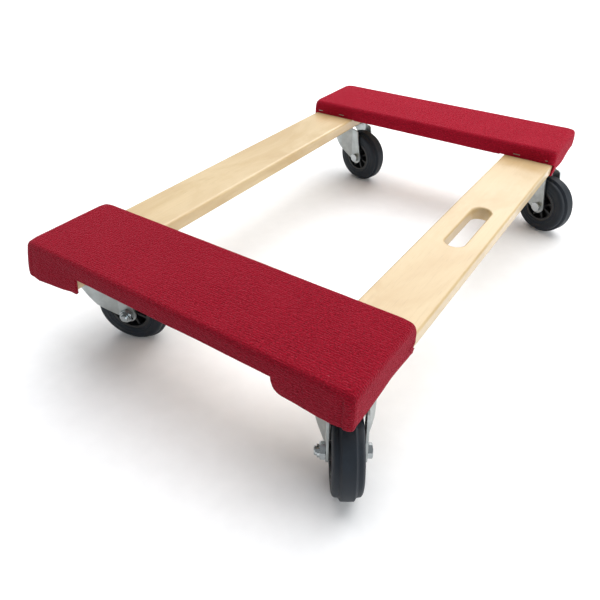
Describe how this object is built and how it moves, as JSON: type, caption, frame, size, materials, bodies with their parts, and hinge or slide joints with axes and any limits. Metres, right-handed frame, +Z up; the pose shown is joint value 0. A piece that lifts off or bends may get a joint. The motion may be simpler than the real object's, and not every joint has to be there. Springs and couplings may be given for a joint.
{
  "type": "furniture dolly",
  "caption": "Low platform dolly: two wooden side rails under two carpeted crossboards, a hand slot in one rail, rolling on swivel casters at the corners.",
  "frame": {"origin": "on the floor under the middle of the deck", "axes": "+Z up, +Y along the side rails towards the rear crossboard, +X along the crossboards towards the rail with the hand slot"},
  "size_m": [0.4968, 0.777, 0.158],
  "materials": {
    "rail_wood": "clear gloss varnish on pale birch",
    "board_wood": "plain sawn hardwood",
    "carpet": "ribbed needle-punched carpet",
    "staple_wire": "galvanised wire",
    "bolt_zinc": "bright zinc plate",
    "stamped_zinc": "dull zinc plate",
    "race_steel": "hardened steel, oiled",
    "ball_steel": "polished",
    "hub_plastic": "moulded",
    "tyre_rubber": "satin black rubber"
  },
  "bodies": {
    "frame": {"left_rail": "rail_wood", "right_rail": "rail_wood", "front_crossboard": "board_wood", "rear_crossboard": "board_wood", "front_carpet": "carpet", "rear_carpet": "carpet", "front_staples": "staple_wire", "rear_staples": "staple_wire", "caster_bolts": "bolt_zinc", "caster_nuts": "bolt_zinc", "front_left_top_plate": "stamped_zinc", "front_left_kingpin": "bolt_zinc", "front_left_lower_race": "race_steel", "front_right_top_plate": "stamped_zinc", "front_right_kingpin": "bolt_zinc", "front_right_lower_race": "race_steel", "rear_left_top_plate": "stamped_zinc", "rear_left_kingpin": "bolt_zinc", "rear_left_lower_race": "race_steel", "rear_right_top_plate": "stamped_zinc", "rear_right_kingpin": "bolt_zinc", "rear_right_lower_race": "race_steel"},
    "front_left_swivel": {"front_left_fork": "stamped_zinc", "front_left_axle_sleeve": "race_steel", "front_left_axle_bolt": "bolt_zinc", "front_left_axle_nut": "bolt_zinc"},
    "front_left_wheel": {"front_left_wheel_hub": "hub_plastic", "front_left_tyre": "tyre_rubber"},
    "front_left_ball_rows": {"front_left_swivel_balls": "ball_steel"},
    "front_right_swivel": {"front_right_fork": "stamped_zinc", "front_right_axle_sleeve": "race_steel", "front_right_axle_bolt": "bolt_zinc", "front_right_axle_nut": "bolt_zinc"},
    "front_right_wheel": {"front_right_wheel_hub": "hub_plastic", "front_right_tyre": "tyre_rubber"},
    "front_right_ball_rows": {"front_right_swivel_balls": "ball_steel"},
    "rear_left_swivel": {"rear_left_fork": "stamped_zinc", "rear_left_axle_sleeve": "race_steel", "rear_left_axle_bolt": "bolt_zinc", "rear_left_axle_nut": "bolt_zinc"},
    "rear_left_wheel": {"rear_left_wheel_hub": "hub_plastic", "rear_left_tyre": "tyre_rubber"},
    "rear_left_ball_rows": {"rear_left_swivel_balls": "ball_steel"},
    "rear_right_swivel": {"rear_right_fork": "stamped_zinc", "rear_right_axle_sleeve": "race_steel", "rear_right_axle_bolt": "bolt_zinc", "rear_right_axle_nut": "bolt_zinc"},
    "rear_right_wheel": {"rear_right_wheel_hub": "hub_plastic", "rear_right_tyre": "tyre_rubber"},
    "rear_right_ball_rows": {"rear_right_swivel_balls": "ball_steel"}
  },
  "joints": [
    {"name": "front_left_swivel_turn", "type": "hinge", "parent": "frame", "child": "front_left_swivel", "pos_m": [-0.1845, -0.318, 0.108], "axis": [0, 0, 1], "continuous": true},
    {"name": "front_left_wheel_spin", "type": "hinge", "parent": "front_left_swivel", "child": "front_left_wheel", "pos_m": [-0.14597, -0.30398, 0.0485], "axis": [-0.342, 0.9397, 0], "continuous": true},
    {"name": "front_left_ball_roll", "type": "hinge", "parent": "frame", "child": "front_left_ball_rows", "pos_m": [-0.1845, -0.318, 0.108], "axis": [0, 0, 1], "continuous": true},
    {"name": "front_right_swivel_turn", "type": "hinge", "parent": "frame", "child": "front_right_swivel", "pos_m": [0.1845, -0.318, 0.108], "axis": [0, 0, 1], "continuous": true},
    {"name": "front_right_wheel_spin", "type": "hinge", "parent": "front_right_swivel", "child": "front_right_wheel", "pos_m": [0.20743, -0.35199, 0.0485], "axis": [0.829, 0.5592, 0], "continuous": true},
    {"name": "front_right_ball_roll", "type": "hinge", "parent": "frame", "child": "front_right_ball_rows", "pos_m": [0.1845, -0.318, 0.108], "axis": [0, 0, 1], "continuous": true},
    {"name": "rear_left_swivel_turn", "type": "hinge", "parent": "frame", "child": "rear_left_swivel", "pos_m": [-0.1845, 0.318, 0.108], "axis": [0, 0, 1], "continuous": true},
    {"name": "rear_left_wheel_spin", "type": "hinge", "parent": "rear_left_swivel", "child": "rear_left_wheel", "pos_m": [-0.14455, 0.30878, 0.0485], "axis": [0.225, 0.9744, 0], "continuous": true},
    {"name": "rear_left_ball_roll", "type": "hinge", "parent": "frame", "child": "rear_left_ball_rows", "pos_m": [-0.1845, 0.318, 0.108], "axis": [0, 0, 1], "continuous": true},
    {"name": "rear_right_swivel_turn", "type": "hinge", "parent": "frame", "child": "rear_right_swivel", "pos_m": [0.1845, 0.318, 0.108], "axis": [0, 0, 1], "continuous": true},
    {"name": "rear_right_wheel_spin", "type": "hinge", "parent": "rear_right_swivel", "child": "rear_right_wheel", "pos_m": [0.22224, 0.30198, 0.0485], "axis": [0.3907, 0.9205, 0], "continuous": true},
    {"name": "rear_right_ball_roll", "type": "hinge", "parent": "frame", "child": "rear_right_ball_rows", "pos_m": [0.1845, 0.318, 0.108], "axis": [0, 0, 1], "continuous": true}
  ],
  "couplings": [
    {"joint": "front_left_ball_roll", "follows": "front_left_swivel_turn", "ratio": 0.5},
    {"joint": "front_right_ball_roll", "follows": "front_right_swivel_turn", "ratio": 0.5},
    {"joint": "rear_left_ball_roll", "follows": "rear_left_swivel_turn", "ratio": 0.5},
    {"joint": "rear_right_ball_roll", "follows": "rear_right_swivel_turn", "ratio": 0.5}
  ]
}
